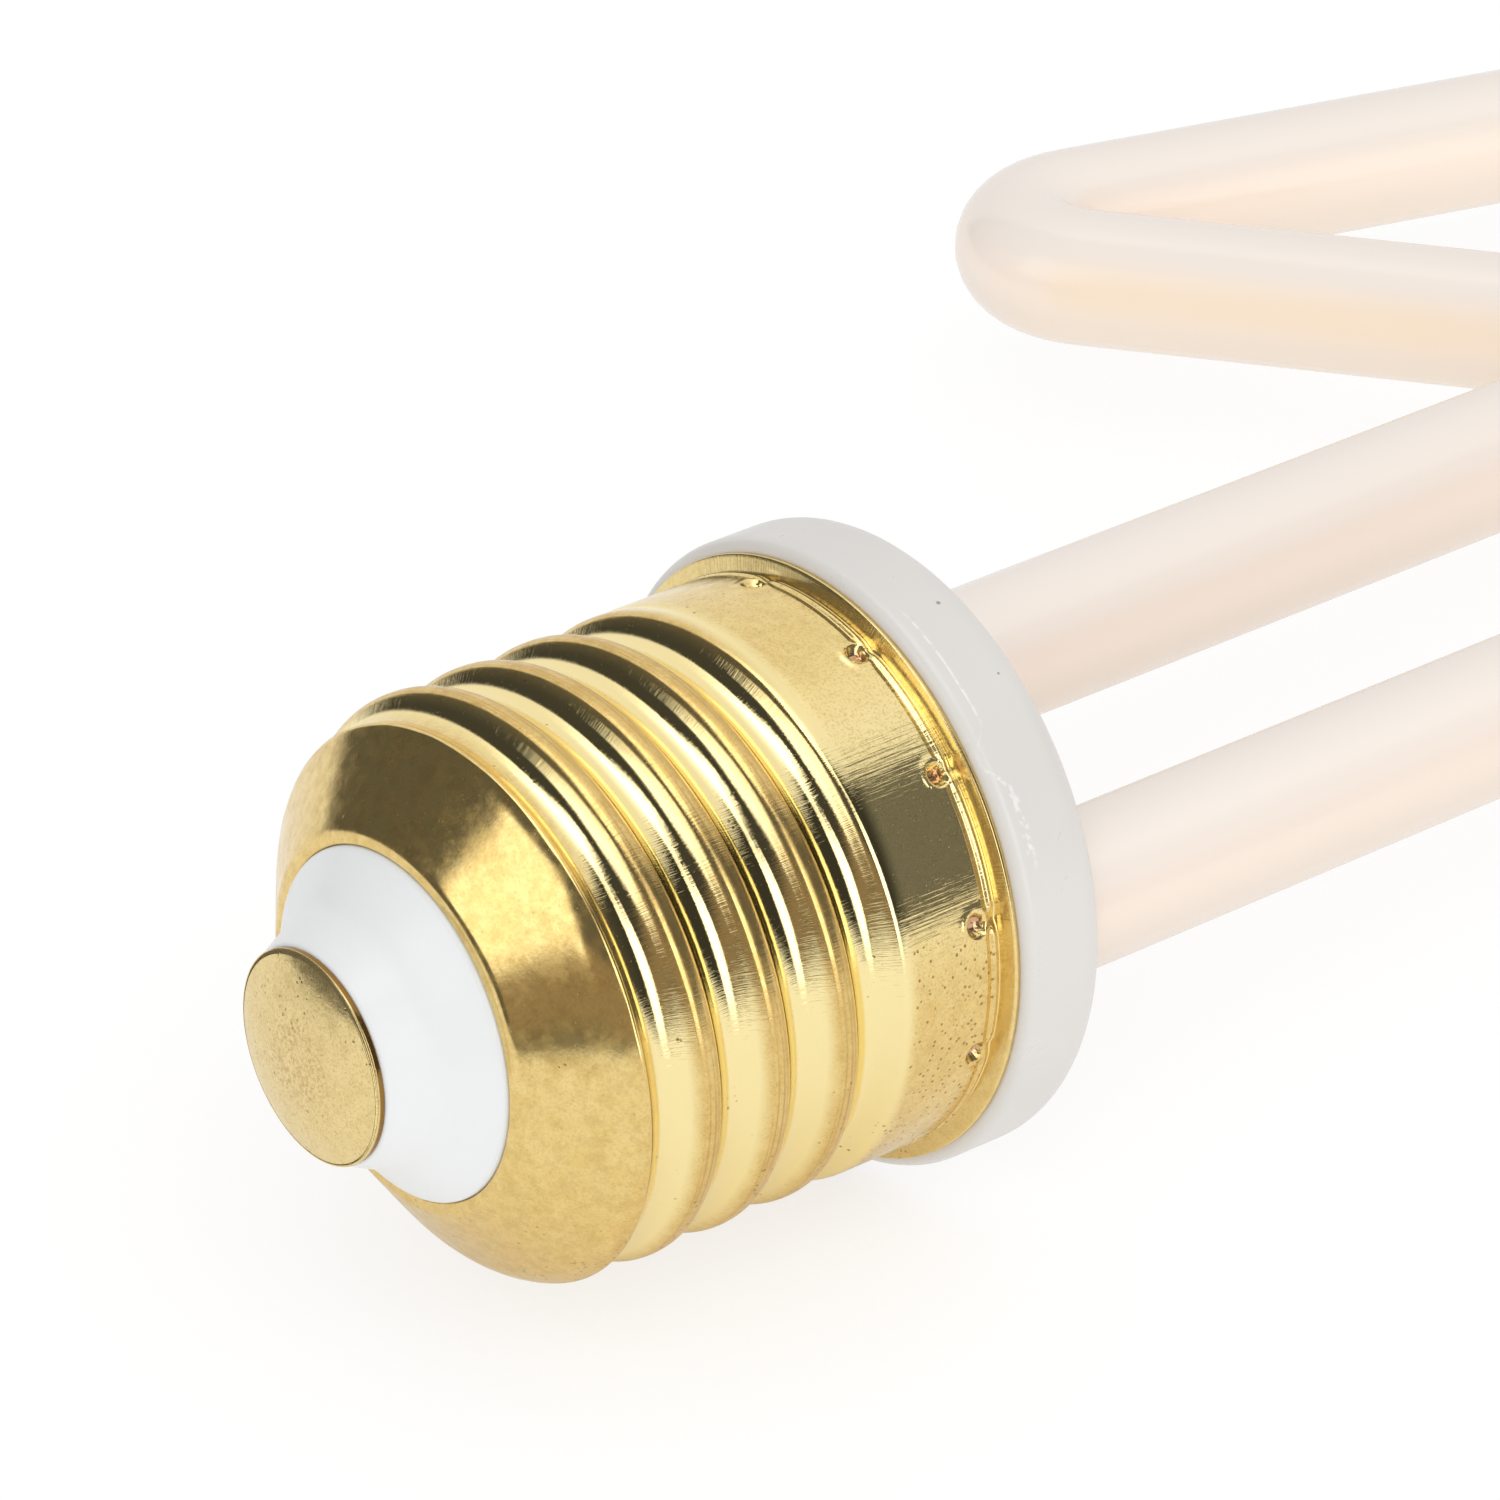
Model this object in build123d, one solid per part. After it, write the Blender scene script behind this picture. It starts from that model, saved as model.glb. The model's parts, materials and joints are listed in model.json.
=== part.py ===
from build123d import *
from math import asin, atan2, ceil, cos, degrees, hypot, radians, sin, tan
import os

# Star-shaped LED bulb on a 27 mm Edison screw cap, in millimetres.
# Each piece is drawn about the bulb's axis: Z = 0 is the collar's face against the cap's flange,
# the cap points to -Z and the star to +Z, flat in the XZ plane.
# At the end the bulb is laid as it comes to rest, on its collar's rim and the star's far tip.

# Brass screw shell
CREST_D = 26.1  # outside of the rolled thread and of the skirt
THREAD_DEPTH = 1.0
THREAD_PITCH = 25.4 / 7  # seven turns to the inch
CREST_LAND = 0.7
SHELL_LENGTH = 22.6  # collar's face to the edge of the end hole
SHELL_WALL = 0.3  # brass left under the thread's grooves
SKIRT_LENGTH = 5.6  # plain stretch between the thread and the collar
FLANGE_LIP = 0.7  # flared rim beyond the skirt
FLANGE_T = 0.3
END_HOLE_D = 15.8
END_SLOPE = 29  # degrees from square to the axis
END_EDGE = 1.9  # bevel between the sloped end and its side

# White insulator
INSULATOR_LENGTH = 4.0  # seen beyond the shell's end
INSULATOR_WAIST = 0.5  # dip of its flared side
INSULATOR_FLANGE = 1.8  # flange's reach behind the shell's end
INSULATOR_FLANGE_T = 1.4

# Brass centre contact, riveted into the insulator
CONTACT_D = 9.6
CONTACT_RIM = 0.3
CONTACT_RISE = 0.9
CONTACT_CROWN_D = 5.4  # where the dome flattens
CONTACT_CROWN_RISE = 0.25
RIVET_D = 2.0

# Bent star tube
TUBE_D = 6.8
TUBE_WALL = 1.0
BORE_SIDES = 8
BEND_INSIDE_R = 0.6  # inside of every bend
BEND_STEP = 42  # largest turn of one mitre, in degrees
STAR_POINTS = 5
STAR_TIP_R = 80.8  # star's centre to the tips' sharp corners
TIP_ANGLE = 39  # between a tip's two sides, in degrees
STAR_CENTRE = 107.3  # star's centre above the collar's face
LEG_SPACING = 19.4

# Milky collar
COLLAR_T = 4.6
COLLAR_FRONT_EDGE = 0.5
COLLAR_BACK_EDGE = 1.4
SOCKET_DEPTH = 3.6
SOCKET_RIM = 1.15  # collar's wall outside a tube
SPIGOT_LENGTH = 4.6
POCKET_W = 8.4  # room in the spigot for the board's pieces
SLOT_DEPTH = 0.6  # board's seat in the collar

# Driver board and what it carries
BOARD_W = 12.0
BOARD_L = 14.0
BOARD_T = 1.0
RECTIFIER_SIZE = (4.8, 2.4, 3.8)
CHIP_SIZE = (4.9, 1.5, 3.9)
CAPACITOR_SIZE = (7.2, 3.5, 6.5)
FUSE_SIZE = (3.2, 1.0, 1.6)
WIRE_W = 0.6
LEAD_DROP = 2.0  # output leads' crossing below the collar's face

# Flexible LED filament
FILAMENT_W = 2.0
FILAMENT_T = 1.2
FILAMENT_SETBACK = 4.0  # filament's end inside the tube's end

# Fits
SLIP = 0.05  # pieces in their seats

# Worked-out sizes
CREST_R = CREST_D / 2
ROOT_R = CREST_R - THREAD_DEPTH
FLANGE_R = CREST_R + FLANGE_LIP
SHELL_BORE_R = ROOT_R - SHELL_WALL
END_HOLE_R = END_HOLE_D / 2
SHOULDER_Z = (CREST_R - END_HOLE_R) * tan(radians(END_SLOPE)) - SHELL_LENGTH
FLOOR_Z = SHOULDER_Z + END_EDGE / 2
TUBE_R = TUBE_D / 2
BEND_R = TUBE_R + BEND_INSIDE_R
LEG_X = LEG_SPACING / 2
COLLAR_R = LEG_X + TUBE_R + SLIP + SOCKET_RIM
SPIGOT_R = SHELL_BORE_R - SLIP
TUBE_FOOT = COLLAR_T - SOCKET_DEPTH
FRONT_Z = -SHELL_LENGTH - INSULATOR_LENGTH
RIVET_END = FLOOR_Z + INSULATOR_FLANGE_T
BOARD_TOP = SLOT_DEPTH
BOARD_FOOT = BOARD_TOP - BOARD_L


def turned(points):
    """A solid of revolution about Z, from (radius, height) corners."""
    return revolve(Plane.XZ * make_face(Polyline(*points, close=True)), Axis.Z)


def box_at(centre, size):
    return Pos(*centre) * Box(*size)


def thread_groove(middle):
    """One rolled groove round the shell, as a ring to cut."""
    half_mouth = (THREAD_PITCH - CREST_LAND) / 2
    beyond = CREST_R + THREAD_DEPTH
    return turned([(ROOT_R, middle), (beyond, middle + 2 * half_mouth), (beyond, middle - 2 * half_mouth)])


def screw_shell():
    threaded_length = -SKIRT_LENGTH - CREST_LAND / 2 - SHOULDER_Z - END_EDGE
    profile = make_face(Polyline(
        (END_HOLE_R, -SHELL_LENGTH),
        (CREST_R, SHOULDER_Z),
        (CREST_R, -FLANGE_T - FLANGE_LIP),
        (FLANGE_R, -FLANGE_T),
        (FLANGE_R, 0),
        (SHELL_BORE_R, 0),
        (SHELL_BORE_R, FLOOR_Z),
        (END_HOLE_R, FLOOR_Z),
        close=True,
    ))
    profile = chamfer(profile.vertices().sort_by_distance((CREST_R, SHOULDER_Z))[0], END_EDGE)
    shell = revolve(Plane.XZ * profile, Axis.Z)
    for turn in range(int(threaded_length / THREAD_PITCH)):
        shell -= thread_groove(-SKIRT_LENGTH - THREAD_PITCH * (turn + 0.5))
    return shell


def insulator():
    """Flared stub through the shell's end hole, with a flange behind the end."""
    neck = END_HOLE_R - SLIP
    flange = END_HOLE_R + INSULATOR_FLANGE
    front = CONTACT_D / 2
    waist = ((front + neck) / 2 - INSULATOR_WAIST, (FRONT_Z - SHELL_LENGTH) / 2)
    rivet_hole = RIVET_D / 2 + SLIP
    return turned([
        (front, FRONT_Z),
        waist,
        (neck, -SHELL_LENGTH),
        (neck, FLOOR_Z),
        (flange, FLOOR_Z),
        (flange, RIVET_END),
        (rivet_hole, RIVET_END),
        (rivet_hole, FRONT_Z),
    ])


def centre_contact():
    rim = CONTACT_D / 2
    base = FRONT_Z - CONTACT_RIM
    crown = base - CONTACT_RISE
    return turned([
        (0, crown),
        (CONTACT_CROWN_D / 2, crown + CONTACT_CROWN_RISE),
        (rim, base),
        (rim, FRONT_Z),
        (RIVET_D / 2, FRONT_Z),
        (RIVET_D / 2, RIVET_END),
        (0, RIVET_END),
    ])


def collar():
    body = turned([
        (0, -SPIGOT_LENGTH),
        (SPIGOT_R, -SPIGOT_LENGTH),
        (SPIGOT_R, 0),
        (COLLAR_R - COLLAR_FRONT_EDGE, 0),
        (COLLAR_R, COLLAR_FRONT_EDGE),
        (COLLAR_R, COLLAR_T - COLLAR_BACK_EDGE),
        (COLLAR_R - COLLAR_BACK_EDGE, COLLAR_T),
        (0, COLLAR_T),
    ])
    pocket_length = 2 * (LEG_X + WIRE_W)
    body -= box_at((0, 0, -SPIGOT_LENGTH), (pocket_length, POCKET_W, 2 * SPIGOT_LENGTH))
    body -= box_at((0, 0, 0), (BOARD_W + 2 * SLIP, BOARD_T + 2 * SLIP, 2 * SLOT_DEPTH))
    for side in (-1, 1):
        body -= Pos(side * LEG_X, 0, TUBE_FOOT + COLLAR_T / 2) * Cylinder(TUBE_R + SLIP, COLLAR_T)
        body -= box_at((side * LEG_X, 0, 0), (WIRE_W + 2 * SLIP, WIRE_W + 2 * SLIP, 2 * COLLAR_T))
    return body


def star_corner(radius, turn):
    """A corner of the star, from its centre, at an angle from +X."""
    return Vector(radius * cos(radians(turn)), 0, STAR_CENTRE + radius * sin(radians(turn)))


def star_corners(foot):
    """Sharp corners of the tube's line: up one leg, round the star and down the other leg."""
    half_gap = 180 / STAR_POINTS
    half_tip = TIP_ANGLE / 2
    dip_r = STAR_TIP_R * sin(radians(half_tip)) / sin(radians(180 - half_gap - half_tip))
    neck = star_corner(dip_r, -90)
    first_tip = star_corner(STAR_TIP_R, half_gap - 90)
    knee = neck + (first_tip - neck) * (LEG_X / first_tip.X)
    corners = [Vector(LEG_X, 0, foot), knee]
    for step in range(1, 2 * STAR_POINTS):
        reach = STAR_TIP_R if step % 2 else dip_r
        corners.append(star_corner(reach, step * half_gap - 90))
    return corners + [Vector(-LEG_X, 0, knee.Z), Vector(-LEG_X, 0, foot)]


def mitred_bend(before, corner, after):
    """Short straight steps round a bend, each touching its arc."""
    inward = (before - corner).normalized()
    onward = (after - corner).normalized()
    turn = 180 - inward.get_angle(onward)
    steps = ceil(turn / BEND_STEP)
    half_step = turn / steps / 2
    centre = corner + (inward + onward).normalized() * (BEND_R / cos(radians(turn / 2)))
    arm = corner + inward * (BEND_R * tan(radians(turn / 2))) - centre
    swing = Axis((0, 0, 0), onward.cross(inward))
    stretch = 1 / cos(radians(half_step))
    return [centre + arm.rotate(swing, half_step * (2 * step + 1)) * stretch for step in range(steps)]


def star_line(foot):
    corners = star_corners(foot)
    points = [corners[0]]
    for before, corner, after in zip(corners, corners[1:], corners[2:]):
        points += mitred_bend(before, corner, after)
    return Polyline(*points, corners[-1])


def along_star(section, foot):
    """A section carried along the star's line from a height on one leg to the same on the other."""
    start = Plane(origin=(LEG_X, 0, foot), x_dir=(1, 0, 0), z_dir=(0, 0, 1))
    return sweep(start * section, path=star_line(foot), transition=Transition.RIGHT)


def star_tube():
    glass = along_star(Circle(TUBE_R), TUBE_FOOT)
    bore = along_star(RegularPolygon(TUBE_R - TUBE_WALL, BORE_SIDES), TUBE_FOOT)
    return glass - bore


def led_filament():
    return along_star(Rectangle(FILAMENT_T, FILAMENT_W), TUBE_FOOT + FILAMENT_SETBACK)


def driver_board():
    return box_at((0, 0, (BOARD_TOP + BOARD_FOOT) / 2), (BOARD_W, BOARD_T, BOARD_L))


def on_board(side, height, size):
    """A block on one face of the board."""
    return box_at((0, side * (BOARD_T + size[1]) / 2, height), size)


def straight_wire(start, end):
    """Square wire between two points that differ along one axis only."""
    across = [abs(a - b) or WIRE_W for a, b in zip(start, end)]
    return box_at([(a + b) / 2 for a, b in zip(start, end)], across)


def contact_lead():
    return straight_wire((0, 0, RIVET_END), (0, 0, BOARD_FOOT))


def shell_lead():
    """Wire from the board's side edge to the shell's wall."""
    height = (BOARD_FOOT - SPIGOT_LENGTH) / 2
    wall = hypot(SHELL_BORE_R - SLIP, WIRE_W / 2)
    return straight_wire((BOARD_W / 2, 0, height), (2 * (SHELL_BORE_R - SLIP) - wall, 0, height))


def output_lead(side):
    """Wire from the board's side edge, up a leg to the filament's end."""
    elbow = side * (LEG_X + WIRE_W / 2)
    across = straight_wire((side * BOARD_W / 2, 0, -LEAD_DROP), (elbow, 0, -LEAD_DROP))
    foot = -LEAD_DROP - WIRE_W / 2
    return across + straight_wire((side * LEG_X, 0, foot), (side * LEG_X, 0, TUBE_FOOT + FILAMENT_SETBACK))


def rest_turn():
    """Slope at which the bulb lies on its collar's back edge and the star's far tip."""
    tip_reach = STAR_TIP_R - BEND_R / sin(radians(TIP_ANGLE / 2)) + BEND_R
    span = STAR_CENTRE + tip_reach - (COLLAR_T - COLLAR_BACK_EDGE)
    return degrees(atan2(COLLAR_R, span) - asin(TUBE_R / hypot(span, COLLAR_R)))


PIECES = {
    "centre_contact": centre_contact(),
    "insulator": insulator(),
    "screw_shell": screw_shell(),
    "collar": collar(),
    "star_tube": star_tube(),
    "led_filament": led_filament(),
    "driver_board": driver_board(),
    "bridge_rectifier": on_board(1, BOARD_FOOT + RECTIFIER_SIZE[2], RECTIFIER_SIZE),
    "driver_chip": on_board(1, BOARD_TOP - BOARD_L / 3, CHIP_SIZE),
    "smoothing_capacitor": on_board(-1, BOARD_TOP - BOARD_L / 2, CAPACITOR_SIZE),
    "fuse": on_board(-1, BOARD_FOOT + FUSE_SIZE[2], FUSE_SIZE),
    "contact_lead": contact_lead(),
    "shell_lead": shell_lead(),
    "output_lead_right": output_lead(1),
    "output_lead_left": output_lead(-1),
}

# Lay the bulb down, star towards +Y, centred over the origin with the surface at Z = 0
laid = {name: Rot(-90 - rest_turn(), 0, 0) * piece for name, piece in PIECES.items()}
box = Compound(list(laid.values())).bounding_box()
rest = Pos(-box.center().X, -box.center().Y, -box.min.Z)

os.makedirs("parts", exist_ok=True)
for name, piece in laid.items():
    export_step(rest * piece, f"parts/{name}.step")
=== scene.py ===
import bpy
import json
import math
from mathutils import Matrix, Vector


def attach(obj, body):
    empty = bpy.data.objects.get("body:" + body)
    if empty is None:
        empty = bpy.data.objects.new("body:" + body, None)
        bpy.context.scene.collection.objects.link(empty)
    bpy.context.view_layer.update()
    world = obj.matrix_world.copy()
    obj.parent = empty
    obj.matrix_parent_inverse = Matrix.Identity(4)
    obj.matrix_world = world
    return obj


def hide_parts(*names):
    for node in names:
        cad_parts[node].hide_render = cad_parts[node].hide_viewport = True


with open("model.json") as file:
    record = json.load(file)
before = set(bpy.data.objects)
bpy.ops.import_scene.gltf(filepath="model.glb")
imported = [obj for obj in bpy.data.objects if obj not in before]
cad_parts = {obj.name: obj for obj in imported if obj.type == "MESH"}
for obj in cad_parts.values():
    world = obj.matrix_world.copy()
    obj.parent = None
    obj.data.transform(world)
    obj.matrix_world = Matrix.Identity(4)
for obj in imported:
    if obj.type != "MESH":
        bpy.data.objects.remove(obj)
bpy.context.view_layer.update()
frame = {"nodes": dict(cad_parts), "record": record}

# Sizes of the bulb in millimetres and degrees. Heights run along its own axis:
# 0 is the collar's face against the cap, and the cap points to minus.

# Screw shell
CREST_R = 13.05
THREAD_DEPTH = 1.0
PITCH = 25.4 / 7
ROOT_R = 1.35  # the thread's round root, wider than its crest
CREST_AT = -17.2  # a crest's height at the angle below
CREST_ANGLE = 237.0
ROLLED = (-20.5, -4.3)  # heights between which the thread is rolled
RUN_OUT = (-6.5, -5.1)  # where it fades into the skirt
ROLL_BLEND = 0.12
SHELL_END = -22.6
END_HOLE_R = 7.9
LIP_R = END_HOLE_R - 0.02
END_ROUND = 3.2
END_ROWS_TO = -16.5  # where the rows of the end give way to those of the thread
THREAD_ROWS, THREAD_ROW = 134, 0.09
SKIRT_R = CREST_R - 0.03
SKIRT_HEIGHTS = [-4.4, -4.0, -3.6, -3.2, -2.8, -2.6] + [-2.4 + 0.08 * k for k in range(13)]
FLANGE_R = 13.75

# Punch marks in the skirt: angles and heights
PUNCHES = [
    (261, -1.4), (291.5, -1.35), (319.5, -1.3), (348.7, -1.6), (377, -1.42), (407.5, -1.45),
    (438, -1.4), (468.5, -1.45), (499, -1.4), (529.5, -1.45), (560, -1.4), (590.5, -1.45),
]
PUNCHED = (-2.8, -0.4)  # heights between which they change the skirt
PUNCH_HALF = 4.9  # half the angle with close columns at a mark
PUNCH_COLUMNS, PUNCH_STEP = 15, 0.7
BETWEEN_PARTS = 13  # columns from one mark to the next
PIT_DEPTH, PIT_FLOOR, PIT_EDGE = 0.40, 0.34, 0.52
RIM_RISE, RIM_R, RIM_WIDTH = 0.06, 0.66, 0.14
DENT_DEPTH, DENT_AT, DENT_ACROSS, DENT_ALONG = 0.22, -0.70, 0.36, 0.26

# Insulator and contact
INSULATOR_FRONT = -26.6
NECK_R = END_HOLE_R - 0.04
TIP_REACH = 1.2  # contact beyond the insulator
CONTACT_R = 4.8
CONTACT_RIM = 0.3
CONTACT_RISE = 0.87
DOME_ROWS = 40
DOME_HOLE = 0.002  # keeps the dome's first ring from closing on itself

# Collar
COLLAR_R = 14.3
COLLAR_T = 4.6
SCUFF_AT = 0.98  # height of the scuffed line
COLLAR_SPECKS = [(291.2, 2.76, 0.13), (307.8, 3.03, 0.08)]  # angle, height and size

# Star tube
TUBE_R = 3.4
TUBE_FOOT = 1.0
TUBE_COLUMNS = 48
BEND_R = 4.0
BEND_ROWS = 18
LEG_X = 9.7
STAR_POINTS = 5
STAR_CENTRE = 107.3
STAR_TIP_R = 80.8
HALF_TIP = math.radians(39 / 2)
HALF_GAP = math.pi / STAR_POINTS
WARM_SIDE = Vector((0.751, 0.227, -0.608)).normalized()  # where the filament shows through
GLOW_SIDE = Vector((0.75, -0.22, -0.61)).normalized()  # where it shows most, at the near tips

TURNED_COLUMNS = 192
BUMP_DEPTH = 0.00003  # metres

# Colours of the brass, clean and worn, and painted shade under the end and round the contact's rim
SHELL_CLEAN, SHELL_STAINED = (0.96, 0.81, 0.41), (0.81, 0.59, 0.22)
CONTACT_CLEAN, CONTACT_STAINED = (0.89, 0.735, 0.37), (0.76, 0.58, 0.26)
# The rust colour also paints shade on the end's low side
RUST_AND_SHADE = (0.72, 0.49, 0.17)
BLOTCH = (0.56, 0.37, 0.12)
SAND = (0.50, 0.32, 0.10)
ROLL_MARK = (0.46, 0.27, 0.08)
WORN_EDGE = (0.60, 0.38, 0.11)
# Painted shade for the end's underside
UNDERSIDE_SHADE = (0.58, 0.41, 0.15)
CROWN_SCRATCH = (0.56, 0.38, 0.17)
PIT = (0.30, 0.16, 0.04)
PUNCH = (0.64, 0.41, 0.24)
RIM_SHADE = (0.30, 0.17, 0.05)
WORN_METAL = 0.87  # how metallic the most worn brass still is

# Colours of the plastic, each with its faint cloud, and the tube's painted light on its sides and painted
# shade on its top and near the collar
INSULATOR_TONES = (0.835, 0.85, 0.85), (0.815, 0.83, 0.83)
COLLAR_TONES = (0.72, 0.70, 0.67), (0.69, 0.67, 0.64)
SCUFF = (0.90, 0.90, 0.89)
SPECK = (0.22, 0.22, 0.21)
TUBE_TONES = (0.88, 0.785, 0.70), (0.87, 0.772, 0.687)
# Painted light for the tube's sideways faces, and painted shade for its top
TUBE_SIDE_LIGHT = (0.945, 0.825, 0.73)
TUBE_TOP_SHADE = (0.905, 0.825, 0.755)
TUBE_WARM = (0.94, 0.775, 0.60)
FOOT_SHADE = (0.93, 0.925, 0.93)

# The bulb's own frame, from the record's mounts
mounts = {mount["name"]: mount for mount in frame["record"]["mounts"]}
along = -Vector(mounts["cap_skirt"]["axis"]).normalized()
across = Vector((1, 0, 0))
over = along.cross(across)
tip_gap = (TIP_REACH - INSULATOR_FRONT) / 1000
origin = Vector(mounts["tip_contact"]["pos_m"]) + along * tip_gap
place = Matrix.Translation(origin) @ Matrix((across, over, along)).transposed().to_4x4()


def smooth(low, high, value):
    t = min(max((value - low) / (high - low), 0), 1)
    return t * t * (3 - 2 * t)


def mix(a, b, t):
    return a + (b - a) * t


def rounded(points, radii, steps=10):
    """A flat line through corners, each corner rounded by its radius."""
    points = [Vector(p) for p in points]
    line = [points[0]]
    for before, corner, after, radius in zip(points, points[1:], points[2:], radii):
        u, w = (before - corner).normalized(), (after - corner).normalized()
        half = u.angle(w) / 2
        cut = radius / math.tan(half)
        centre = corner + (u + w).normalized() * (radius / math.sin(half))
        a, b = corner + u * cut - centre, corner + w * cut - centre
        turn = a.angle(b)
        for k in range(steps + 1):
            s = k / steps
            arm = a * math.sin((1 - s) * turn) + b * math.sin(s * turn)
            line.append(centre + arm / math.sin(turn))
    line.append(points[-1])
    return line


def spaced(line, step):
    """The same line with no stretch longer than the step."""
    out = [line[0]]
    for a, b in zip(line, line[1:]):
        parts = max(1, math.ceil((b - a).length / step))
        out += [a.lerp(b, k / parts) for k in range(1, parts + 1)]
    return out


def add_mesh(name, verts, faces, material, replaced, attributes):
    """A smooth mesh from points in millimetres in the bulb's frame."""
    mesh = bpy.data.meshes.new(name)
    mesh.from_pydata([place @ (Vector(v) / 1000) for v in verts], [], faces)
    for key, values in attributes.items():
        mesh.attributes.new(key, "FLOAT", "POINT").data.foreach_set("value", values)
    mesh.polygons.foreach_set("use_smooth", [True] * len(mesh.polygons))
    mesh.materials.append(material)
    mesh.update()
    piece = bpy.data.objects.new(name, mesh)
    bpy.context.collection.objects.link(piece)
    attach(piece, "root")
    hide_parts(*replaced)


def grid_faces(rows, columns, wrap):
    """Faces between rows of points, closed round where they wrap."""
    faces = []
    for start in range(0, (rows - 1) * columns, columns):
        for j in range(columns if wrap else columns - 1):
            k = (j + 1) % columns
            faces.append((start + j, start + k, start + columns + k, start + columns + j))
    return faces


def turned(name, line, material, replaced):
    """A turned piece from a line of (radius, height) points, outside to the right of its run."""
    angles = [2 * math.pi * j / TURNED_COLUMNS for j in range(TURNED_COLUMNS)]
    verts = [(r * math.cos(a), r * math.sin(a), z) for r, z in line for a in angles]
    keys = {
        "height": [z for _, z in line for _ in angles],
        "around": [math.degrees(a) for _ in line for a in angles],
    }
    faces = grid_faces(len(line), TURNED_COLUMNS, True)
    add_mesh(name, verts, faces, material, replaced, keys)


# Materials
class Nodes:
    """Short names for building a node tree."""

    def __init__(self, tree):
        self.tree = tree

    def put(self, socket, value):
        if isinstance(value, bpy.types.NodeSocket):
            self.tree.links.new(value, socket)
        elif value is not None:
            socket.default_value = value

    def math(self, kind, a, b=None, c=None):
        node = self.tree.nodes.new("ShaderNodeMath")
        node.operation = kind
        for socket, value in zip(node.inputs, (a, b, c)):
            self.put(socket, value)
        return node.outputs[0]

    def times(self, first, *more):
        for other in more:
            first = self.math("MULTIPLY", first, other)
        return first

    def plus(self, first, *more):
        for other in more:
            first = self.math("ADD", first, other)
        return first

    def minus(self, a, b):
        return self.math("SUBTRACT", a, b)

    def over(self, a, b):
        return self.math("DIVIDE", a, b)

    def line(self, value, slope, at):
        return self.math("MULTIPLY_ADD", value, slope, at)

    def away(self, value, middle):
        """How far a value lies from a middle, on either side."""
        return self.math("ABSOLUTE", self.minus(value, middle))

    def weighted(self, *pairs):
        """Sum of values, each times its weight."""
        return self.plus(*[self.times(value, weight) for value, weight in pairs])

    def capped(self, *pairs):
        """The same sum, at most 1."""
        return self.math("MINIMUM", self.weighted(*pairs), 1.0)

    def span(self, value, low, high, out_low=0.0, out_high=1.0, kind="SMOOTHSTEP"):
        node = self.tree.nodes.new("ShaderNodeMapRange")
        node.interpolation_type = kind
        keys = ("Value", "From Min", "From Max", "To Min", "To Max")
        for key, item in zip(keys, (value, low, high, out_low, out_high)):
            self.put(node.inputs[key], item)
        return node.outputs["Result"]

    def colours(self, factor, a, b, blend="MIX"):
        node = self.tree.nodes.new("ShaderNodeMix")
        node.data_type = "RGBA"
        node.blend_type = blend
        self.put(node.inputs[0], factor)
        for socket, tone in zip(node.inputs[6:8], (a, b)):
            self.put(socket, (*tone, 1) if isinstance(tone, tuple) else tone)
        return node.outputs[2]

    def layers(self, colour, *pairs):
        """Colours laid over the first one, each by its own factor."""
        for factor, tone in pairs:
            colour = self.colours(factor, colour, tone)
        return colour

    def attribute(self, name):
        node = self.tree.nodes.new("ShaderNodeAttribute")
        node.attribute_name = name
        return node.outputs["Fac"]

    def vector(self, x=0.0, y=0.0, z=0.0):
        node = self.tree.nodes.new("ShaderNodeCombineXYZ")
        for socket, value in zip(node.inputs, (x, y, z)):
            self.put(socket, value)
        return node.outputs[0]

    def split(self, vector):
        node = self.tree.nodes.new("ShaderNodeSeparateXYZ")
        self.put(node.inputs[0], vector)
        return node.outputs

    def noise(self, coordinates, scale, detail=2.0, rough=0.5):
        node = self.tree.nodes.new("ShaderNodeTexNoise")
        self.put(node.inputs["Vector"], coordinates)
        for key, value in (("Scale", scale), ("Detail", detail), ("Roughness", rough)):
            node.inputs[key].default_value = value
        return node.outputs["Fac"]

    def cells(self, coordinates, scale):
        """Distance to the middle of the nearest cell."""
        node = self.tree.nodes.new("ShaderNodeTexVoronoi")
        self.put(node.inputs["Vector"], coordinates)
        node.inputs["Scale"].default_value = scale
        return node.outputs["Distance"]

    def bump(self, height, strength, normal=None):
        node = self.tree.nodes.new("ShaderNodeBump")
        node.inputs["Strength"].default_value = strength
        node.inputs["Distance"].default_value = BUMP_DEPTH
        self.put(node.inputs["Height"], height)
        self.put(node.inputs["Normal"], normal)
        return node.outputs[0]

    def position(self):
        return self.tree.nodes.new("ShaderNodeTexCoord").outputs["Object"]


def new_material(name, **settings):
    """A material with its shader's own values, given by their names with underscores for spaces."""
    material = bpy.data.materials.new(name)
    material.use_nodes = True
    shader = material.node_tree.nodes["Principled BSDF"]
    for key, value in settings.items():
        shader.inputs[key.replace("_", " ")].default_value = value
    return material, shader, Nodes(material.node_tree)


def brass_grain(n, where):
    """What all the brass shares: fine grains, a cloudy mottle and blotches."""
    grains = n.noise(where, 8200, 2.0, 0.6)
    mottle = n.noise(where, 1300, 4.0, 0.65)
    blotch = n.span(n.noise(where, 1500, 4.0, 0.7), 0.42, 0.68)
    return grains, mottle, blotch


def brass_pits(n, where, many):
    """Small round pits in patches, which are larger where many is higher."""
    dots = n.span(n.cells(where, 2900), 0.13, 0.27, 1.0, 0.0)
    patches = n.span(n.noise(where, 700, 2.0), n.minus(0.64, many), n.minus(0.70, many))
    return n.times(dots, patches)


def brass_gloss(n, grains, mottle, brown, dullness, speck):
    """Roughness: the place's own dullness, smears where it is brown, and dull specks."""
    smear = n.times(n.span(mottle, 0.35, 0.7, 0.0, 0.12), brown)
    dull = n.span(grains, speck, n.plus(speck, 0.05))
    return n.plus(dullness, 0.045, smear, n.times(dull, 0.30))


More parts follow.
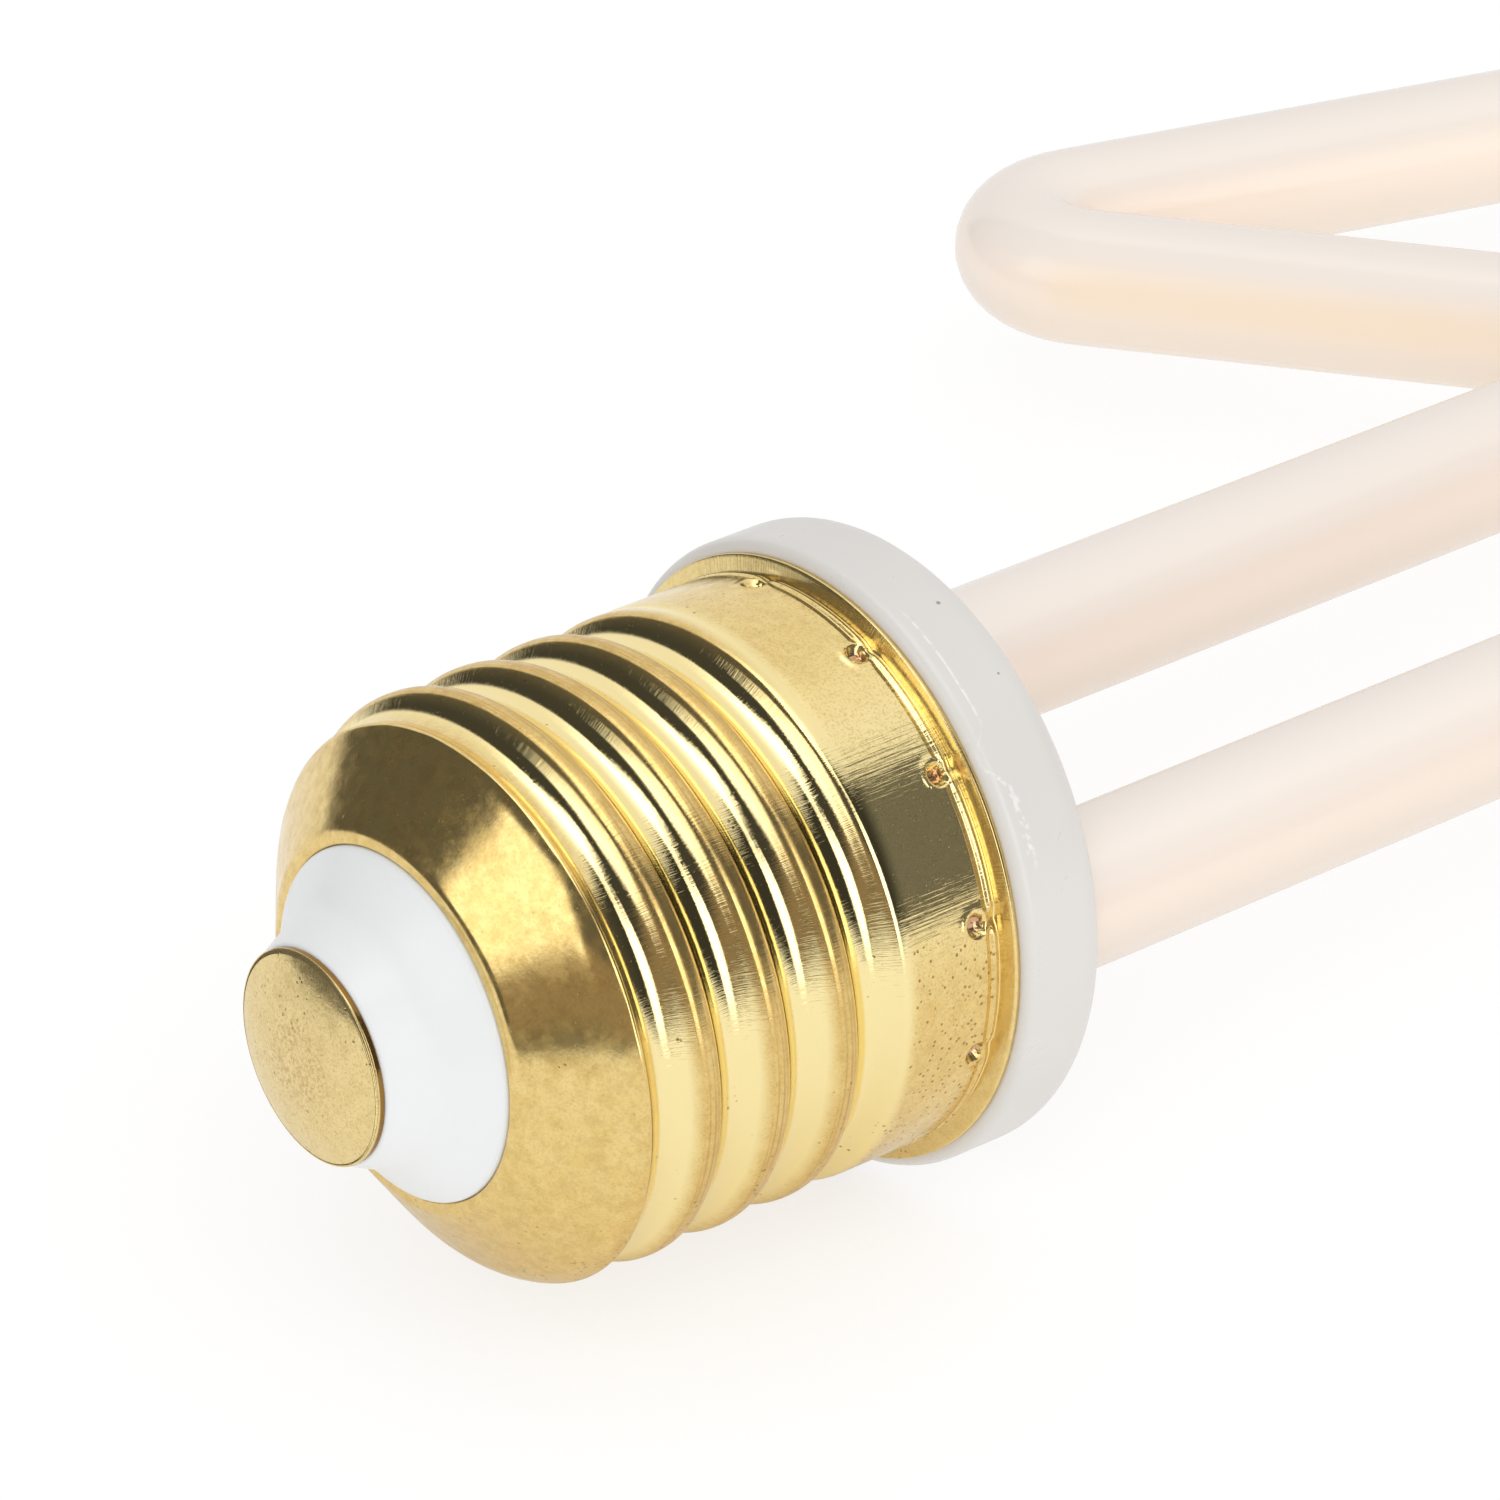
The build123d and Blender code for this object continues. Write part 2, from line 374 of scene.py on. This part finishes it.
def shell_brass():
    """Brass, mirror bright in the thread's roots and brushed along the axis.

    It is dull brown on the crests and the end, and pitted low down, with painted shade on the end's
    underside.
    """
    material, shader, n = new_material("shell_brass", Specular_IOR_Level=0.0)
    where, around, height = n.position(), n.attribute("around"), n.attribute("height")
    lift = n.times(n.split(where)[2], 1000.0)
    grains, mottle, blotch = brass_grain(n, where)

    # Zones along the shell, and up from the floor
    low = n.span(lift, 14.0, 5.0)
    end = n.span(height, -19.2, -17.8, 1.0, 0.0)
    # Painted shade: the end's low side, darker towards the floor
    end_low_shade = n.times(end, low)
    rolled = n.times(n.span(height, -19.5, -18.4), n.span(height, -6.6, -5.6, 1.0, 0.0))
    skirt = n.times(n.span(height, -5.6, -4.8), n.span(height, -0.6, -0.5, 1.0, 0.0))
    skirt_low = n.times(skirt, n.span(lift, 20.5, 13.0))
    skirt_high = n.times(skirt, n.span(lift, 25.0, 27.5))
    ring = n.span(height, -0.52, -0.44)
    rim = n.span(height, -0.20, -0.14)

    # Place beside the nearest crest, and what the rolling and the wear left there
    turns = n.over(n.minus(height, CREST_AT), PITCH)
    turns = n.minus(turns, n.over(n.minus(around, CREST_ANGLE), 360.0))
    beside = n.times(n.minus(n.math("FRACT", n.plus(turns, 20.5)), 0.5), PITCH)
    band = n.times(n.span(n.math("ABSOLUTE", beside), 0.30, 0.85, 1.0, 0.0), rolled)
    streaks = n.noise(n.vector(n.times(beside, 7.0), n.times(around, 0.015)), 1.0, 2.0)
    marks = n.times(streaks, band)
    worn_edge = n.times(n.span(n.away(beside, 0.2), 0.3, 0.6, 1.0, 0.0), rolled, low)

    # Rust on the crest bands, the rim and the low skirt; on the end's low side this is painted shade
    rust_and_shade = n.capped((band, 0.8), (rim, 0.8), (skirt_low, 0.55), (end_low_shade, 0.45))
    brown = n.capped(
        (end, 1.0), (ring, 0.6), (skirt, 0.12), (skirt_low, 0.7), (skirt_high, 0.6), (band, 0.9)
    )
    worn = n.capped((end, 0.65), (ring, 0.6), (skirt, 1.0), (band, 1.0))
    end_pits = n.span(low, 0.0, 1.0, -0.05, 0.10)
    many = n.weighted((skirt_low, 0.40), (low, 0.05), (worn_edge, 0.34), (end, end_pits))
    pits = brass_pits(n, where, many)
    sand = n.times(n.span(grains, 0.48, 0.66), worn)

    stained = n.times(brown, n.span(mottle, 0.3, 0.7, 0.7, 1.0))
    colour = n.layers(
        n.colours(stained, SHELL_CLEAN, SHELL_STAINED),
        (n.times(rust_and_shade, n.span(mottle, 0.3, 0.7, 0.5, 1.0)), RUST_AND_SHADE),
        (n.times(blotch, brown, 0.35), BLOTCH),
        (n.times(sand, 0.35), SAND),
        (n.times(n.span(marks, 0.45, 0.65), 0.5), ROLL_MARK),
        (n.times(worn_edge, 0.4), WORN_EDGE),
        # Painted shade: the end darkens towards the floor
        (n.times(end, n.span(lift, 9.0, 1.5, 0.0, 0.4)), UNDERSIDE_SHADE),
        (n.times(pits, n.span(end, 0.0, 1.0, 0.8, 0.5)), PIT),
        (n.span(n.attribute("punch"), 0.45, 0.8), PUNCH),
    )
    n.put(shader.inputs["Base Color"], colour)
    n.put(shader.inputs["Metallic"], n.span(worn, 0.0, 1.0, 1.0, WORN_METAL, "LINEAR"))
    dullness = n.weighted((end, 0.08), (skirt, 0.05), (ring, 0.08), (band, 0.12))
    speck = n.minus(0.70, n.times(skirt, 0.05))
    n.put(shader.inputs["Roughness"], brass_gloss(n, grains, mottle, brown, dullness, speck))

    # Brushing: coarse on the skirt, fine in the thread, none on the end
    coarse = n.noise(n.vector(n.times(around, 1.25), n.times(height, 0.22)), 1.0, 3.0, 0.6)
    fine = n.noise(n.vector(n.times(around, 3.2), n.times(height, 0.5)), 1.0, 3.0, 0.6)
    fine_share = n.minus(0.45, n.times(n.math("MAXIMUM", end, skirt), 0.45))
    normal = n.bump(n.weighted((coarse, skirt), (fine, fine_share)), 0.7)
    normal = n.bump(mottle, 0.16, normal)
    normal = n.bump(marks, 0.35, normal)
    n.put(shader.inputs["Normal"], n.bump(n.times(pits, -1.0), 0.3, normal))
    return material


def contact_brass():
    """Dull brass, with fine scratches on the dome's crown and a dark line round its rim."""
    material, shader, n = new_material(
        "contact_brass", Specular_IOR_Level=0.0, Metallic=WORN_METAL
    )
    where, height = n.position(), n.attribute("height")
    grains, mottle, blotch = brass_grain(n, where)
    brown = 0.6
    pits = brass_pits(n, where, 0.10)
    crown = n.span(height, INSULATOR_FRONT - 1.10, INSULATOR_FRONT - 0.92, 1.0, 0.0)
    scratches = n.span(n.noise(where, 5200, 3.0, 0.7), 0.46, 0.62, 0.0, 0.7)
    colour = n.layers(
        n.colours(n.times(n.span(mottle, 0.3, 0.7, 0.7, 1.0), brown), CONTACT_CLEAN, CONTACT_STAINED),
        (n.times(blotch, brown * 0.35), BLOTCH),
        (n.times(n.span(grains, 0.48, 0.66), 0.35), SAND),
        (n.times(crown, scratches), CROWN_SCRATCH),
        (n.times(pits, 0.5), PIT),
        (n.span(height, INSULATOR_FRONT - 0.30, INSULATOR_FRONT - 0.22), RIM_SHADE),
    )
    n.put(shader.inputs["Base Color"], colour)
    dullness = n.span(height, INSULATOR_FRONT - 0.75, INSULATOR_FRONT - 0.58, 0.18, 0.09)
    n.put(shader.inputs["Roughness"], brass_gloss(n, grains, mottle, brown, dullness, 0.66))
    n.put(shader.inputs["Normal"], n.bump(n.times(pits, -1.0), 0.3, n.bump(mottle, 0.3)))
    return material


def milky(name, tones, rough, uneven=0.05, wave=0.05, **settings):
    """Moulded milky plastic with a faint cloud, an uneven satin gloss and, with wave, a soft bump."""
    material, shader, n = new_material(name, IOR=1.49, **settings)
    where = n.position()
    colour = n.colours(n.span(n.noise(where, 90, 3.0, 0.55), 0.3, 0.75), *tones)
    n.put(shader.inputs["Base Color"], colour)
    gloss = n.noise(where, 500, 3.0, 0.6)
    n.put(shader.inputs["Roughness"], n.span(gloss, 0.3, 0.7, rough - uneven, rough + uneven))
    if wave:
        n.put(shader.inputs["Normal"], n.bump(n.noise(where, 260, 2.0), wave))
    return material, shader, n, colour


def white_insulator():
    """Smooth white plastic with a little light from below its surface."""
    below = {"Subsurface_Weight": 0.3, "Subsurface_Radius": (1.0, 0.9, 0.8), "Subsurface_Scale": 0.0008}
    return milky("insulator_white", INSULATOR_TONES, 0.34, **below)[0]


def scuffed_collar():
    """Milky collar with a scuffed line near the cap, rougher towards one end, and two specks of dirt."""
    material, shader, n, colour = milky("collar_milky", COLLAR_TONES, 0.32)
    where, height, around = n.position(), n.attribute("height"), n.attribute("around")

    # The line's course, with one dip, its width, and how strong it is along its way
    dip = n.span(n.away(around, 320.5), 1.0, 6.5, 0.8, 0.0)
    wander = n.times(n.minus(n.noise(where, 420, 3.0), 0.5), 0.3)
    off = n.away(n.plus(height, wander, dip), SCUFF_AT)
    rough = n.span(around, 322.0, 328.0)
    line = n.span(n.over(off, n.line(rough, 0.20, 0.09)), 0.35, 1.0, 1.0, 0.0)
    patchy = n.span(n.noise(where, 2600, 2.0), n.line(rough, 0.14, 0.34), n.line(rough, 0.10, 0.54))
    ends = n.times(n.span(around, 289.0, 293.0), n.span(around, 338.0, 343.0, 1.0, 0.0))
    faint = n.span(n.away(around, 318.0), 3.0, 7.0, 0.3, 0.9)
    colour = n.colours(n.times(line, patchy, ends, faint, 0.7), colour, SCUFF)

    for angle, at, size in COLLAR_SPECKS:
        side = n.times(n.minus(around, angle), math.radians(COLLAR_R))
        squares = [n.math("POWER", gap, 2.0) for gap in (side, n.minus(height, at))]
        reach = n.math("SQRT", n.plus(*squares))
        colour = n.colours(n.span(reach, size / 2, size, 0.8, 0.0), colour, SPECK)
    n.put(shader.inputs["Base Color"], colour)
    return material


def opal_tube():
    """Satin opal tube, warmer on the side where the filament shows through, with painted light on its
    sides and painted shade greyer on top and near the collar.
    """
    material, shader, n, colour = milky("tube_opal", TUBE_TONES, 0.18, 0.012, 0.0, Specular_IOR_Level=0.36)
    normal = n.tree.nodes.new("ShaderNodeNewGeometry").outputs["Normal"]
    facing_up = n.split(normal)[2]
    # Painted light: faces turned sideways are brighter than the underside
    colour = n.colours(n.span(facing_up, -0.35, 0.2), colour, TUBE_SIDE_LIGHT)
    # Painted shade: darker near the collar
    colour = n.colours(n.attribute("foot"), colour, FOOT_SHADE, "MULTIPLY")
    # Painted shade: greyer where the tube faces up
    colour = n.colours(n.span(facing_up, 0.3, 0.85), colour, TUBE_TOP_SHADE)
    n.put(shader.inputs["Base Color"], n.colours(n.attribute("warmth"), colour, TUBE_WARM))
    return material


def plain(name, base, shade, rough, metal=0.0):
    """A small hidden piece: two tones, a grain and an uneven gloss."""
    material, shader, n = new_material(name, Metallic=metal)
    where = n.position()
    cloud = n.noise(where, 700, 3.0, 0.6)
    n.put(shader.inputs["Base Color"], n.colours(n.span(cloud, 0.3, 0.7), base, shade))
    n.put(shader.inputs["Roughness"], n.span(cloud, 0.2, 0.8, rough - 0.08, rough + 0.08))
    n.put(shader.inputs["Normal"], n.bump(n.noise(where, 2800, 2.0), 0.15))
    return material


# Screw shell: rounded end, rolled thread, plain skirt with punch marks, flared rim
def shell_line():
    """The shell's outline before rolling and punching, from the end hole to the flared rim."""
    end = rounded(
        [
            (LIP_R, -22.0), (LIP_R, SHELL_END - 0.02), (8.5, -22.55),
            (10.9, -20.8), (CREST_R, -19.2), (CREST_R, -15.5),
        ],
        [0.1, 1.0, 6.0, END_ROUND],
        12,
    )
    end = [p for p in spaced(end, 0.14) if p.y < END_ROWS_TO or p.x < CREST_R - 1]
    thread = [Vector((CREST_R, END_ROWS_TO + THREAD_ROW * k)) for k in range(THREAD_ROWS)]
    skirt = [Vector((SKIRT_R, z)) for z in SKIRT_HEIGHTS]
    flare = rounded(
        [
            (SKIRT_R, -1.4), (SKIRT_R, -1.2), (SKIRT_R - 0.05, -0.95), (13.09, -0.74),
            (12.9, -0.47), (FLANGE_R, -0.27), (FLANGE_R, 0), (CREST_R, 0),
        ],
        [0.2, 0.12, 0.15, 0.05, 0.08, 0.08],
        4,
    )
    return end + thread + skirt + spaced(flare[1:], 0.12)


def shell_angles():
    """Angles round the shell, closer together across each punch mark."""
    marks = [angle for angle, _ in PUNCHES]
    angles = []
    for here, after in zip(marks, marks[1:] + [marks[0] + 360]):
        angles += [here - PUNCH_HALF + PUNCH_STEP * k for k in range(PUNCH_COLUMNS)]
        part = (after - here - 2 * PUNCH_HALF) / BETWEEN_PARTS
        angles += [here + PUNCH_HALF + part * k for k in range(1, BETWEEN_PARTS)]
    return angles + [marks[0] + 360 - PUNCH_HALF]


def softest(a, b, blend):
    """The smaller of two values, with a soft change between them."""
    h = max(blend - abs(a - b), 0) / blend
    return min(a, b) - h * h * blend / 4


def rolled_radius(turns):
    """A rolled thread: round crests and wider round roots, in arcs that meet on the flank."""
    flank = 2 * math.atan(THREAD_DEPTH / (PITCH / 2))
    crest_arc = PITCH / 2 / math.sin(flank) - ROOT_R
    away = abs(turns - round(turns)) * PITCH
    if away < crest_arc * math.sin(flank):
        return CREST_R - crest_arc + math.sqrt(crest_arc**2 - away**2)
    root_drop = math.sqrt(max(ROOT_R**2 - (PITCH / 2 - away) ** 2, 0))
    return CREST_R - THREAD_DEPTH + ROOT_R - root_drop


def shell_point(r, z, angle):
    """Radius at a place on the shell, and how deep it lies in a punch mark."""
    turns = (z - CREST_AT) / PITCH - (angle - CREST_ANGLE) / 360
    if ROLLED[0] < z < ROLLED[1]:
        r = softest(r, rolled_radius(turns), ROLL_BLEND)
        r = mix(r, SKIRT_R, smooth(*RUN_OUT, z))
    nearest, height = min(PUNCHES, key=lambda mark: abs((angle - mark[0] + 180) % 360 - 180))
    side = math.radians((angle - nearest + 180) % 360 - 180) * CREST_R
    reach = math.hypot(side, z - height)
    pit = 1 - smooth(PIT_FLOOR, PIT_EDGE, reach)
    rim = math.exp(-(((reach - RIM_R) / RIM_WIDTH) ** 2))
    dent = math.exp(-((side / DENT_ACROSS) ** 2 + ((z - DENT_AT) / DENT_ALONG) ** 2))
    if PUNCHED[0] < z < PUNCHED[1]:
        r += RIM_RISE * rim - PIT_DEPTH * pit - DENT_DEPTH * dent
    return r, pit


def screw_shell():
    line, angles = shell_line(), shell_angles()
    verts, keys = [], {"punch": [], "around": [], "height": []}
    for point in line:
        for angle in angles:
            r, pit = shell_point(point.x, point.y, angle)
            a = math.radians(angle)
            verts.append((r * math.cos(a), r * math.sin(a), point.y))
            for key, value in zip(keys, (pit, angle, point.y)):
                keys[key].append(value)
    faces = grid_faces(len(line), len(angles), False)
    add_mesh("rolled_screw_shell", verts, faces, shell_brass(), ["screw_shell"], keys)


def insulator():
    corners = [
        (0.5, INSULATOR_FRONT), (CONTACT_R + 0.05, INSULATOR_FRONT), (5.9, -24.4),
        (NECK_R, -22.75), (NECK_R, -21.4),
    ]
    line = spaced(rounded(corners, [0.25, 2.6, 0.35]), 0.2)
    turned("flared_insulator", line, white_insulator(), ["insulator"])


def contact():
    rim_z = INSULATOR_FRONT - CONTACT_RIM
    shares = [k / DOME_ROWS for k in range(DOME_ROWS)]
    dome = [Vector((CONTACT_R * share, rim_z - CONTACT_RISE * (1 - share**2))) for share in shares]
    dome[0].x = DOME_HOLE
    corners = [dome[-1], (CONTACT_R, rim_z), (CONTACT_R, INSULATOR_FRONT), (1.0, INSULATOR_FRONT + 0.02)]
    line = dome + rounded(corners, [0.06, 0.06], 5)
    turned("domed_contact", line, contact_brass(), ["centre_contact"])


def collar():
    corners = [(10.0, 0.0), (COLLAR_R, 0.0), (COLLAR_R, COLLAR_T), (0.01, COLLAR_T)]
    line = spaced(rounded(corners, [0.55, 1.5]), 0.3)
    turned("rounded_collar", line, scuffed_collar(), ["collar"])


# Star tube: straight runs and round bends
def star_corner(radius, turn):
    return Vector((radius * math.cos(turn), STAR_CENTRE + radius * math.sin(turn)))


def star_line():
    """The tube's middle line: up one leg, round the star and down the other leg."""
    dip_r = STAR_TIP_R * math.sin(HALF_TIP) / math.sin(math.pi - HALF_GAP - HALF_TIP)
    start = -math.pi / 2
    neck, first = star_corner(dip_r, start), star_corner(STAR_TIP_R, start + HALF_GAP)
    knee = neck + (first - neck) * (LEG_X / first.x)
    corners = [Vector((LEG_X, TUBE_FOOT)), knee]
    for step in range(1, 2 * STAR_POINTS):
        reach = STAR_TIP_R if step % 2 else dip_r
        corners.append(star_corner(reach, start + step * HALF_GAP))
    corners += [Vector((-LEG_X, knee.y)), Vector((-LEG_X, TUBE_FOOT))]
    return spaced(rounded(corners, [BEND_R] * (len(corners) - 2), BEND_ROWS), 2.0)


def star_tube():
    line = star_line()
    whole = sum((b - a).length for a, b in zip(line, line[1:]))
    verts, warmth, foot = [], [], []
    travelled = 0.0
    for i, p in enumerate(line):
        before, after = line[max(i - 1, 0)], line[min(i + 1, len(line) - 1)]
        ahead = (after - before).normalized()
        side = Vector((ahead.y, -ahead.x))
        travelled += (p - before).length
        gone = min(travelled, whole - travelled)
        near_tip = smooth(66, 78, gone) * (1 - smooth(94, 106, gone))
        for j in range(TUBE_COLUMNS):
            a = 2 * math.pi * j / TUBE_COLUMNS
            out = side * (TUBE_R * math.cos(a))
            rise = TUBE_R * math.sin(a)
            verts.append((p.x + out.x, rise, p.y + out.y))
            facing = Vector((out.x, rise, out.y)).normalized()
            glow = near_tip * smooth(0.84, 1.0, facing.dot(GLOW_SIDE))
            warm = smooth(0.4, 0.95, facing.dot(WARM_SIDE))
            warmth.append(0.65 * glow + (0.25 + 0.1 * near_tip) * warm)
            # Mask for the painted shade near the collar
            foot.append(1 - smooth(36, 66, gone))
    faces = grid_faces(len(line), TUBE_COLUMNS, True)
    keys = {"warmth": warmth, "foot": foot}
    add_mesh("bent_star_tube", verts, faces, opal_tube(), ["star_tube"], keys)


def hidden_pieces():
    """Materials for the pieces inside, which keep their solids."""
    amber = plain("filament_amber", (0.86, 0.52, 0.13), (0.80, 0.44, 0.09), 0.5)
    green = plain("board_green", (0.02, 0.10, 0.04), (0.015, 0.08, 0.03), 0.4)
    black = plain("case_black", (0.015, 0.015, 0.015), (0.03, 0.03, 0.03), 0.5)
    yellow = plain("film_yellow", (0.60, 0.35, 0.03), (0.52, 0.30, 0.03), 0.35)
    tinned = plain("wire_tinned", (0.60, 0.60, 0.58), (0.50, 0.50, 0.48), 0.3, 1.0)
    pieces = {"led_filament": amber, "driver_board": green, "smoothing_capacitor": yellow}
    pieces.update(dict.fromkeys(["bridge_rectifier", "driver_chip", "fuse"], black))
    leads = ["contact_lead", "shell_lead", "output_lead_right", "output_lead_left"]
    pieces.update(dict.fromkeys(leads, tinned))
    for node, material in pieces.items():
        for holder in frame["nodes"][node].material_slots:
            holder.material = material


# Floor, light and camera
def white_floor():
    """A white floor whose border is placed by its mirror image in the brass."""
    mesh = bpy.data.meshes.new("floor")
    left, right, front, back = -0.8, 0.18, -0.19, 0.8
    bay = [
        (-0.21, front), (-0.175, -0.235), (-0.12, -0.28),
        (-0.07, -0.305), (-0.03, -0.30), (-0.01, front),
    ]
    border = [(left, front)] + bay + [(right, front), (right, back), (left, back)]
    mesh.from_pydata([(x, y, 0) for x, y in border], [], [tuple(range(len(border)))])
    material, shader, n = new_material(
        "floor_white", Roughness=0.9, Specular_IOR_Level=0.0, Emission_Color=(1, 1, 1, 1)
    )
    mirrored = n.tree.nodes.new("ShaderNodeLightPath").outputs["Is Glossy Ray"]
    white = n.colours(mirrored, (0.31, 0.31, 0.31), (0.85, 0.85, 0.85))
    n.put(shader.inputs["Base Color"], white)
    n.put(shader.inputs["Emission Strength"], n.span(mirrored, 0.0, 1.0, 0.73, 0.18))
    mesh.materials.append(material)
    floor = bpy.data.objects.new("floor", mesh)
    bpy.context.collection.objects.link(floor)


def studio():
    """White surroundings, and the studio that polished faces mirror.

    It has white walls, a dark front, a brown card, a dark flag, two front soft boxes and one overhead.
    """
    world = bpy.data.worlds.new("studio")
    bpy.context.scene.world = world
    world.use_nodes = True
    tree = world.node_tree
    n = Nodes(tree)
    ray = tree.nodes.new("ShaderNodeLightPath")
    x, y, z = n.split(tree.nodes.new("ShaderNodeTexCoord").outputs["Generated"])
    front = n.times(y, -1.0)

    # Directions in degrees: turn from the front towards the right, and lift above the floor
    turn = n.times(n.math("ARCTAN2", x, front), 180 / math.pi)
    turn = n.plus(turn, n.times(n.math("LESS_THAN", turn, -120.0), 360.0))
    lift = n.times(n.math("ARCSINE", z), 180 / math.pi)

    def past(value, edge, soft):
        """1 beyond the edge, 0 before it."""
        return n.span(n.minus(value, edge), -soft, soft)

    def short(value, edge, soft):
        """1 before the edge, 0 beyond it."""
        return n.span(n.minus(value, edge), -soft, soft, 1.0, 0.0)

    def grey(value):
        return (value, value * 0.985, value * 0.96)

    rise = n.math("POWER", n.span(lift, 45.0, 85.0, 0.0, 1.0, "LINEAR"), 2.0)
    wall = n.line(rise, 1.3, 0.93)
    walls = n.vector(wall, n.times(wall, 0.985), n.times(wall, 0.96))
    dark_front = past(n.minus(front, n.times(z, 0.07)), 0.0, 0.03)
    brown_card = n.times(past(turn, 9.0, 3.0), short(turn, 74.0, 3.0), short(lift, 22.0, 2.0))
    card_tone = n.colours(n.span(lift, -7.0, -1.0), (0.14, 0.13, 0.11), (0.27, 0.205, 0.14))
    flag_edge = n.line(lift, -1.1, 189.5)
    right_flag = n.times(past(turn, 105.0, 2.5), short(turn, flag_edge, 4.0), short(lift, 59.0, 3.0))
    left_box = n.times(
        past(turn, -21.0, 3.0), short(turn, 21.0, 3.0), past(lift, 13.0, 3.0), short(lift, 44.0, 3.0)
    )
    leaning = n.line(n.math("MAXIMUM", n.minus(18.0, lift), 0.0), 0.5, 71.0)
    right_box = n.times(past(turn, leaning, 2.0), short(turn, 104.0, 2.0), short(lift, 39.0, 2.0))

    # The overhead box, on a level plane one unit up
    height = n.math("MAXIMUM", z, 0.2)
    u, v = n.over(x, height), n.over(front, height)
    top_box = n.times(
        past(u, n.line(v, 0.79, -0.15), 0.03),
        short(u, n.line(v, -0.88, 0.76), 0.04),
        short(u, n.line(v, 1.1, 0.742), 0.04),
        n.span(v, -0.45, -0.15),
        past(z, 0.3, 0.02),
    )
    mirrored = n.layers(
        walls,
        (dark_front, grey(0.055)),
        (brown_card, card_tone),
        (right_flag, grey(0.04)),
        (left_box, grey(1.75)),
        (right_box, grey(2.5)),
        (top_box, grey(2.5)),
    )
    soft = n.span(x, -1.0, 1.0, 0.66, 1.02, "LINEAR")
    light = n.colours(ray.outputs["Is Glossy Ray"], n.vector(soft, soft, soft), mirrored)
    light = n.colours(ray.outputs["Is Camera Ray"], light, (1.0, 1.0, 1.0))
    n.put(tree.nodes["Background"].inputs["Color"], light)
    tree.nodes["Background"].inputs["Strength"].default_value = 1.0


def key_light():
    """A weak soft light from the front right, which the brass doesn't mirror."""
    lamp = bpy.data.lights.new("key", "AREA")
    lamp.shape = "RECTANGLE"
    lamp.size, lamp.size_y = 0.5, 0.5
    lamp.energy = 1.0
    holder = bpy.data.objects.new("key", lamp)
    holder.location = (0.45, -0.35, 0.55)
    holder.rotation_euler = (origin - holder.location).to_track_quat("-Z", "Y").to_euler()
    holder.visible_glossy = False
    bpy.context.collection.objects.link(holder)


def camera():
    """The photograph's view."""
    data = bpy.data.cameras.new("camera")
    data.sensor_fit = "HORIZONTAL"
    data.sensor_width = 36.0
    data.lens = 193.486
    data.clip_start, data.clip_end = 0.01, 10
    data.dof.use_dof = False
    holder = bpy.data.objects.new("camera", data)
    bpy.context.collection.objects.link(holder)
    eye = Vector((0.2387532, -0.2589568, 0.1921788))
    look = Vector((-0.69488, 0.518677, -0.498112))
    up = Vector((-0.353497, 0.356832, 0.864703))
    right = look.cross(up).normalized()
    up = right.cross(look).normalized()
    axes = Matrix((right, up, -look.normalized())).transposed().to_4x4()
    holder.matrix_world = Matrix.Translation(eye) @ axes
    bpy.context.scene.camera = holder


screw_shell()
insulator()
contact()
collar()
star_tube()
hidden_pieces()
white_floor()
studio()
key_light()
camera()
bpy.context.scene.view_settings.view_transform = "Standard"
